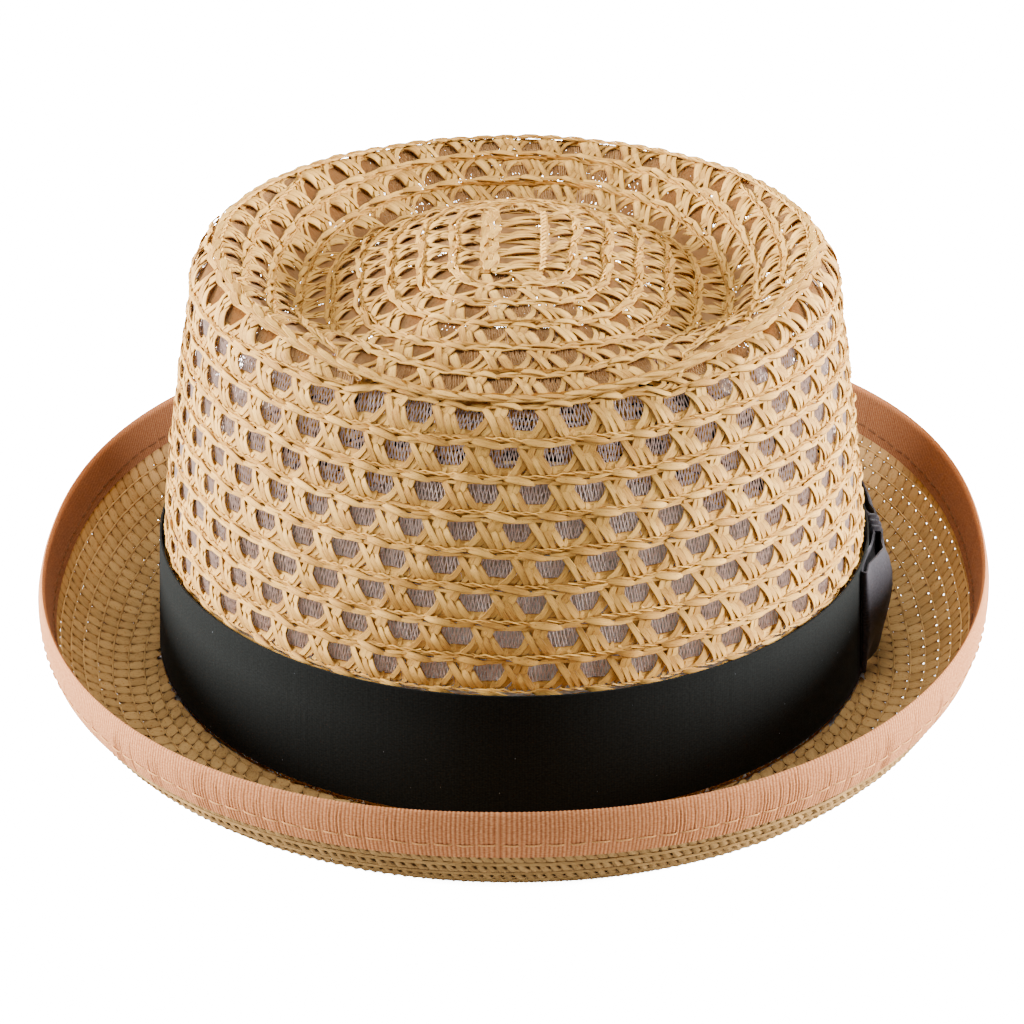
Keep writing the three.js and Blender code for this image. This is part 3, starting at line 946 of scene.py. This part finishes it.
def ribbon_material(name, pale, deep, painted_valley_shade, roughness, sheen, shine, lint=0.0, shaded_leg=None):
    """Grosgrain: fine yarn, painted shade in rib valleys, lint, and a painted shaded leg if given."""
    material, tree, shader = new_material(name, roughness, shine)
    shader.inputs["Sheen Weight"].default_value = sheen
    shader.inputs["Sheen Roughness"].default_value = 0.4
    weave = marks_on(tree, "weave")
    parts = add_node(tree, "ShaderNodeSeparateXYZ", {0: weave}).outputs
    place = add_node(tree, "ShaderNodeMapping", {"Vector": weave, "Scale": YARN_STRETCH})
    yarn = add_node(tree, "ShaderNodeTexNoise", {"Vector": place.outputs["Vector"], "Scale": 1.1,
                                                 "Detail": 4}).outputs["Fac"]
    colour = mixed(tree, ramp(tree, yarn, *YARN_RANGE), pale, deep)
    # Painted shade: the valleys between the ribs are darkened, as shade falls in them
    valley = math_node(tree, "SUBTRACT", 1.0, parts["Z"])
    colour = mixed(tree, valley, colour, painted_valley_shade, "MULTIPLY")
    specks = add_node(tree, "ShaderNodeTexVoronoi", {"Vector": weave, "Scale": 0.16})
    colour = mixed(tree, ramp(tree, specks.outputs["Distance"], *LINT_SIZES, lint), colour, LINT)
    if shaded_leg:
        colour = mixed(tree, ramp(tree, parts["Y"], *shaded_leg), colour, LEG_SHADE, "MULTIPLY")
    finish_look(tree, shader, colour, yarn, strength=0.6, depth=0.12)
    return material


def ribbon_piece(piece, material, node, length):
    piece.data.materials.append(material)
    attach(piece, "root")
    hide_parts(node)


def length_of(line):
    return np.linalg.norm(np.diff(line, axis=0), axis=1).sum()


edge_length = length_of(brim_at(turns, np.pi / 2, 0.0))
binding_turns, binding_ribs = rib_columns(edge_length, BINDING_RIB, BINDING_RIB_DEPTH)
binding_face = binding_line(binding_turns, RIBBON_THICK - BINDING_RIB_DEPTH + binding_ribs)
binding_back = binding_line(binding_turns, 0.0)
binding_silk = ribbon_material("binding_grosgrain", (0.70, 0.325, 0.145), (0.50, 0.21, 0.084),
                               (0.55, 0.40, 0.30), roughness=0.9, sheen=0.02, shine=0.1,
                               shaded_leg=INSIDE_LEG)
binding = ribbed_band("brim_binding_ribbon", binding_face, binding_back,
                      binding_turns * edge_length / (2 * np.pi))
ribbon_piece(binding, binding_silk, "brim_binding", edge_length)

# The binding's stitching: a line of long machine stitches through each leg. The thread outside
# is of the ribbon's colour; the inside one is almost black, which is painted shade for the shade it
# lies in.
STITCH_PITCH = 4.7
STITCH_LENGTH = 4.2
STITCH_WIDTH = 0.46
ROLLS_PER_MM = 2.4
STITCH_ROLLS = {-1: math.radians(8.2), 1: math.radians(5)}
STITCH_ROOM = math.radians(2)
STITCH_UNEVEN = (0.3, 0.22, 0.0)


def stitch_unit(seed):
    """One stitch: a thread that comes up, lies slack on the ribbon and goes down again."""
    unit = Strands(seed)
    rise = np.array([-0.3, 0.1, 0.14, 0.14, 0.12, -0.3])
    slack = unit.chance.normal(0, 0.07)
    unit.add(bent((0, 0), (STITCH_LENGTH, unit.chance.normal(0, 0.12)), rise, slack),
             STITCH_WIDTH, 0.34, Strands.DIAMOND)
    return unit.object("stitch_unit")


def thread_material(name, pale, deep):
    """Two-ply sewing thread: light and dark bands that slant along it."""
    material, tree, shader = new_material(name, roughness=0.8, shine=0.1)
    ply = add_node(tree, "ShaderNodeTexWave",
                   {"Vector": marks_on(tree, "strand"), "Scale": 0.9, "Distortion": 0.5})
    tree.links.new(mixed(tree, ply.outputs["Fac"], deep, pale), shader.inputs["Base Color"])
    return material


def stitch_line(name, side, thread, seed):
    """Stitches on one leg of the binding: side is -1 outside and 1 inside."""
    middle = np.pi / 2 - (BINDING_OUT if side < 0 else BINDING_IN) + STITCH_ROLLS[side]
    rolls = np.linspace(middle - STITCH_ROOM, middle + STITCH_ROOM, 5)[::-side]
    sheet = Surface(turns, np.array([brim_at(turns, roll, off_brim(roll, side) + side * RIBBON_THICK)
                                     for roll in rolls]))
    level = np.ones(len(turns))
    row = Row(sheet, 2.0 * level, (2.0 + ROLLS_PER_MM) * level, level, STITCH_PITCH, 0.0)
    piece = sew(name, two_ways, seats_on([row], STITCH_PITCH, 1.0), stitches, thread, seed, 0.0)
    lay_rows(piece, sheet, [row], STITCH_PITCH, 1.0, uneven=STITCH_UNEVEN)
    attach(piece, "root")


top_thread = thread_material("binding_thread", (0.68, 0.34, 0.13), (0.50, 0.22, 0.075))
# The inside thread's near black is painted shade
bobbin_thread = thread_material("binding_bobbin_thread", (0.12, 0.05, 0.02), (0.08, 0.033, 0.013))
stitches = [stitch_unit(41), stitch_unit(42)]
stitch_line("binding_stitches_outside", -1, top_thread, 8)
stitch_line("binding_stitches_inside", 1, bobbin_thread, 9)
for unit in stitches:
    bpy.data.objects.remove(unit)

# The hat band: a black grosgrain ribbon 29 mm wide, drawn tight round the foot of the crown. Its
# join lies under the bow.
BAND_BOTTOM = 2.4
BAND_TOP = 31.6
BAND_OUT = 0.5
BAND_STEPS = 4


def foot_at(turn, z, out):
    """A point off the foot of the crown, by turn, height and distance out from the straw."""
    foot, band = CROWN_RINGS[0], CROWN_RINGS[1]
    share = np.broadcast_to(z / band[4], turn.shape)
    half = foot[1] + (band[1] - foot[1]) * share
    length = foot[2] + (band[2] - foot[2]) * share
    out = np.broadcast_to(out, turn.shape)
    normal = np.stack([np.sin(turn) / half, -np.cos(turn) / length], axis=-1)
    normal /= np.linalg.norm(normal, axis=-1, keepdims=True)
    return np.stack([half * np.sin(turn) + normal[..., 0] * out,
                     -length * np.cos(turn) + normal[..., 1] * out,
                     np.broadcast_to(z, turn.shape)], axis=-1)


band_length = length_of(foot_at(turns, BAND_BOTTOM, BAND_OUT))
band_turns, band_ribs = rib_columns(band_length, BAND_RIB, BAND_RIB_DEPTH)
band_heights = np.linspace(BAND_BOTTOM, BAND_TOP, BAND_STEPS)
band_face = np.array([foot_at(band_turns, z, BAND_OUT + RIBBON_THICK - BAND_RIB_DEPTH + band_ribs)
                      for z in band_heights])
band_back = np.array([foot_at(band_turns, z, BAND_OUT) for z in band_heights])
band_silk = ribbon_material("band_grosgrain", (0.0125, 0.0142, 0.014), (0.0078, 0.0088, 0.0087),
                            (0.8, 0.82, 0.82), roughness=0.85, sheen=0.02, shine=0.03, lint=0.3)
band = ribbed_band("hat_band_ribbon", band_face, band_back, band_turns * band_length / (2 * np.pi))
ribbon_piece(band, band_silk, "hat_band", band_length)

# The bow: a flat bow of black grosgrain 26 mm wide on the wearer's left. Two loops stand a little
# off the band and are drawn in at the waist, and a short piece goes round the waist and is sewn.
BOW_TURN = math.radians(93)
BOW_BEND = 95.0
BOW_LENGTH = 34.0
BOW_GAP = 0.3
BOW_BOTTOM = 4.2
BOW_TOP = 30.4
BOW_OUT = 3.3
BOW_STAND = 2.5
BOW_INNER = 0.75
BOW_WAIST = 0.8
BOW_FOLD = 0.55
BOW_SETTLE = 1.3
BOW_PINCH = 3.0
BOW_FULL_FROM = 0.15
BOW_ROUND_FROM = 0.985
BOW_BULGE = 0.9
BOW_TUCK = 2.5
BOW_NOD = 1.6
BOW_ROWS = 9
BOW_WAVE = 0.35
BOW_WAVE_TURNS, BOW_WAVE_LENGTH = 2.2, 7.0
BOW_FINE_STEPS = 600
BOW_HEIGHT = BOW_TOP - BOW_BOTTOM


def bow_at(along, height, out):
    """A point of the bow: mm along the band from its middle, height from 0 to 1, and mm out."""
    z = BOW_BOTTOM + BOW_HEIGHT * height
    return foot_at(BOW_TURN + along / BOW_BEND, z, BOW_OUT + out)


def points_at(line, marks):
    """Points at those distances along a line."""
    travel = travelled(line)
    return np.stack([np.interp(marks, travel, line[:, axis]) for axis in (0, 1)], axis=1)


def right_of(ahead):
    """Unit vectors a quarter turn clockwise from the directions."""
    ahead = ahead / np.linalg.norm(ahead, axis=1, keepdims=True)
    return np.stack([ahead[:, 1], -ahead[:, 0]], axis=1)


def bow_skins(count, row_at, places):
    """A ribbon's face and back: for each place across it, the row of points at that depth."""
    ribs = BAND_RIB_DEPTH * valley_or_rib(count)
    return [np.array([row_at(depth, place) for place in places])
            for depth in (ribs - BAND_RIB_DEPTH, np.full(count, -RIBBON_THICK))]


def loop_line(away):
    """A loop seen from above: from the waist along the band, round a tight fold and back."""
    step = np.linspace(-1, 1, BOW_FINE_STEPS)
    share = np.cos(np.pi / 2 * step)
    full = np.sin(np.pi * np.clip((share - BOW_FULL_FROM) / (1 - BOW_FULL_FROM), 0, 1))
    half = BOW_WAIST + (BOW_FOLD - BOW_WAIST) * share + (BOW_STAND - BOW_FOLD) * full
    past = np.clip((share - BOW_ROUND_FROM) / (1 - BOW_ROUND_FROM), 0, 1)
    out = half * np.where(step < 0, -BOW_INNER, 1.0) * np.sqrt(1 - past ** 2) * (step != 0)
    line = np.stack([BOW_GAP + share * BOW_LENGTH, out - BOW_SETTLE * fade(share, 0.5, 1.0)], axis=1)
    length = travelled(line)[-1]
    marks = np.linspace(0, length, 2 * round(length / BAND_RIB))
    even = points_at(line, marks)
    order = slice(None) if away > 0 else slice(None, None, -1)
    return marks, even[order], -right_of(np.gradient(even, axis=0))[order]


def bow_loop(name, node, away):
    marks, line, normal = loop_line(away)
    pinch = BOW_PINCH / BOW_HEIGHT * (1 - fade(line[:, 0] / BOW_LENGTH, 0.3, 0.7))
    outer_leg = (fade(line[:, 1], -BOW_SETTLE, BOW_WAIST)
                 * fade(line[:, 0], 0.15 * BOW_LENGTH, 0.35 * BOW_LENGTH))

    def row_at(depth, height):
        wave = BOW_WAVE * outer_leg * np.sin(BOW_WAVE_TURNS * np.pi * height
                                             + line[:, 0] / BOW_WAVE_LENGTH)
        along, out = (line + normal * depth[:, None]).T
        lean = (BOW_BULGE * math.sin(np.pi * height) - BOW_TUCK * (1 - height) ** 2
                - BOW_NOD * height ** 4)
        return bow_at(away * along, pinch + (1 - 2 * pinch) * height, out + wave + outer_leg * lean)

    skins = bow_skins(len(marks), row_at, np.linspace(0, 1, BOW_ROWS))
    piece = ribbed_band(name, *skins, marks, closed=False)
    ribbon_piece(piece, bow_silk, node, marks[-1])


KNOT_HALF = 5.0
KNOT_CLEAR = 2.55
KNOT_OUT = 1.2
KNOT_ROUND = 1.1
KNOT_ROWS = 25
KNOT_FOLDS = 3
KNOT_FOLD_DEPTH = 0.22


def knot_line():
    """The ring that the short ribbon makes, as height in mm and mm out, down its outside first."""
    top = BOW_HEIGHT - KNOT_CLEAR
    bottom, wide, bends = KNOT_CLEAR, KNOT_OUT + RIBBON_THICK, KNOT_ROUND
    corners = [((top - bends, wide - bends), np.pi / 2), ((bottom + bends, wide - bends), 0),
               ((bottom + bends, bends - wide), -np.pi / 2), ((top - bends, bends - wide), -np.pi)]
    points = []
    for (height, out), start in corners:
        for bend in np.linspace(start, start - np.pi / 2, 7):
            points.append((height + bends * math.sin(bend), out + bends * math.cos(bend)))
    line = np.array(points + points[:1])
    length = travelled(line)[-1]
    count = 2 * round(length / BAND_RIB)
    marks = np.arange(count) / count * length
    even = points_at(line, marks)
    return marks, even, right_of(np.roll(even, -1, axis=0) - np.roll(even, 1, axis=0))


def bow_knot(name, node):
    marks, line, normal = knot_line()

    def row_at(depth, along):
        fold = KNOT_FOLD_DEPTH * math.cos(2 * np.pi * KNOT_FOLDS * along / (2 * KNOT_HALF))
        height, out = (line + normal * (depth + fold - KNOT_FOLD_DEPTH)[:, None]).T
        return bow_at(np.full(len(marks), along), height / BOW_HEIGHT, out)

    skins = bow_skins(len(marks), row_at, np.linspace(-KNOT_HALF, KNOT_HALF, KNOT_ROWS))
    piece = ribbed_band(name, *skins, marks)
    ribbon_piece(piece, bow_silk, node, marks[-1])


bow_silk = ribbon_material("bow_grosgrain", (0.034, 0.032, 0.040), (0.022, 0.020, 0.026),
                           (0.8, 0.8, 0.82), roughness=0.75, sheen=0.08, shine=0.12, lint=0.3)
bow_loop("bow_front_loop_ribbon", "bow_front_loop", -1)
bow_loop("bow_back_loop_ribbon", "bow_back_loop", 1)
bow_knot("bow_knot_ribbon", "bow_knot")
